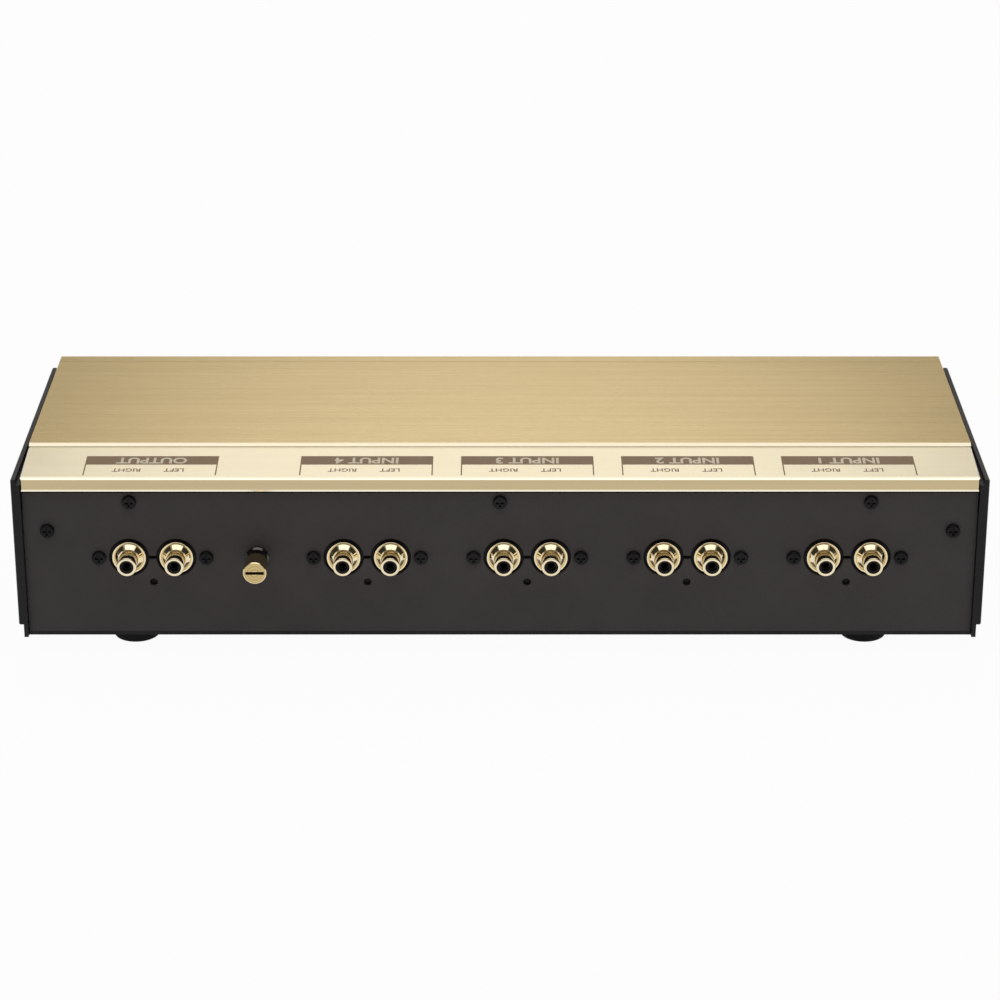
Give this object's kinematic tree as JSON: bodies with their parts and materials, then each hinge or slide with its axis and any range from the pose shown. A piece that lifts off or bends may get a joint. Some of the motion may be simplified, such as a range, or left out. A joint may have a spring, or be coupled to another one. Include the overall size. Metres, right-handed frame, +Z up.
{
  "type": "audio source selector",
  "caption": "Low, wide hi-fi casing that connects one of several stereo inputs to an output by a rotary knob, with paired phono jacks and a ground terminal at the rear.",
  "frame": {"origin": "centre of the overall box on the surface that the feet stand on", "axes": "+X along the width to the right seen from the front, +Y to the rear panel, +Z up"},
  "size_m": [0.41, 0.1772, 0.086],
  "materials": {
    "gold_brushed": "brushed anodised",
    "gold_strip": "fine satin anodised",
    "charcoal": "fine matt powder coat",
    "black_steel": "satin paint",
    "black_screw": "black oxide",
    "gold_plate": "polished gold plate",
    "black_plastic": "moulded",
    "foot_rubber": "moulded",
    "steel": "zinc plated",
    "board": "glass fibre board",
    "phenolic": "phenolic sheet",
    "contact_brass": "plain",
    "contact_tin": "dull tin plate",
    "pointer": "enamel"
  },
  "bodies": {
    "chassis": {"chassis_tray": "black_steel", "corner_bracket_left": "steel", "corner_bracket_right": "steel", "detent_spring": "contact_brass", "foot_front_left": "foot_rubber", "foot_front_right": "foot_rubber", "foot_rear_left": "foot_rubber", "foot_rear_right": "foot_rubber", "foot_screws": "steel", "front_bush": "contact_brass", "front_panel": "gold_brushed", "front_panel_screws": "steel", "front_subpanel": "steel", "ground_base": "black_screw", "ground_nut": "steel", "jack_contacts": "contact_tin", "jack_insulators": "black_plastic", "jack_nuts": "steel", "jack_plate_input_1": "black_plastic", "jack_plate_input_2": "black_plastic", "jack_plate_input_3": "black_plastic", "jack_plate_input_4": "black_plastic", "jack_plate_output": "black_plastic", "jack_plate_screws": "black_screw", "jack_shells_input_1": "gold_plate", "jack_shells_input_2": "gold_plate", "jack_shells_input_3": "gold_plate", "jack_shells_input_4": "gold_plate", "jack_shells_output": "gold_plate", "label_strip": "gold_strip", "rear_panel": "charcoal", "rear_panel_screws": "black_screw", "side_skin_left": "black_steel", "side_skin_right": "black_steel", "side_skin_screws": "black_screw", "signal_board": "board", "switch_frame": "steel", "switch_nut": "steel", "switch_spacers": "steel", "switch_stand": "steel", "switch_stand_screws": "steel", "tie_rod_nuts": "steel", "tie_rods": "steel", "top_panel": "gold_brushed", "top_panel_screws": "steel", "wafer_contacts": "contact_brass", "wafer_front": "phenolic", "wafer_rear": "phenolic"},
    "selector": {"knob": "gold_brushed", "knob_pointer": "pointer", "grub_screws": "black_screw", "extension_shaft": "steel", "shaft_coupler": "contact_brass", "switch_shaft": "steel", "detent_wheel": "steel", "rotor_front": "phenolic", "rotor_rear": "phenolic", "rotor_blades": "contact_brass"},
    "ground_washer": {"ground_washer": "gold_plate"},
    "ground_screw": {"ground_screw": "gold_plate"}
  },
  "joints": [
    {"name": "selector_turn", "type": "hinge", "parent": "chassis", "child": "selector", "pos_m": [0, 0, 0.047], "axis": [0, 1, 0], "range_deg": [0, 90], "deforming": ["detent_spring"]},
    {"name": "ground_screw_travel", "type": "slide", "parent": "chassis", "child": "ground_washer", "axis": [0, 1, 0], "range_m": [0, 0.0028]},
    {"name": "ground_screw_turn", "type": "hinge", "parent": "ground_washer", "child": "ground_screw", "pos_m": [0.10271, 0.07755, 0.045], "axis": [0, 1, 0], "range_deg": [0, 1440]}
  ],
  "couplings": [
    {"joint": "ground_screw_turn", "follows": "ground_screw_travel", "rad_per_m": 8976}
  ]
}
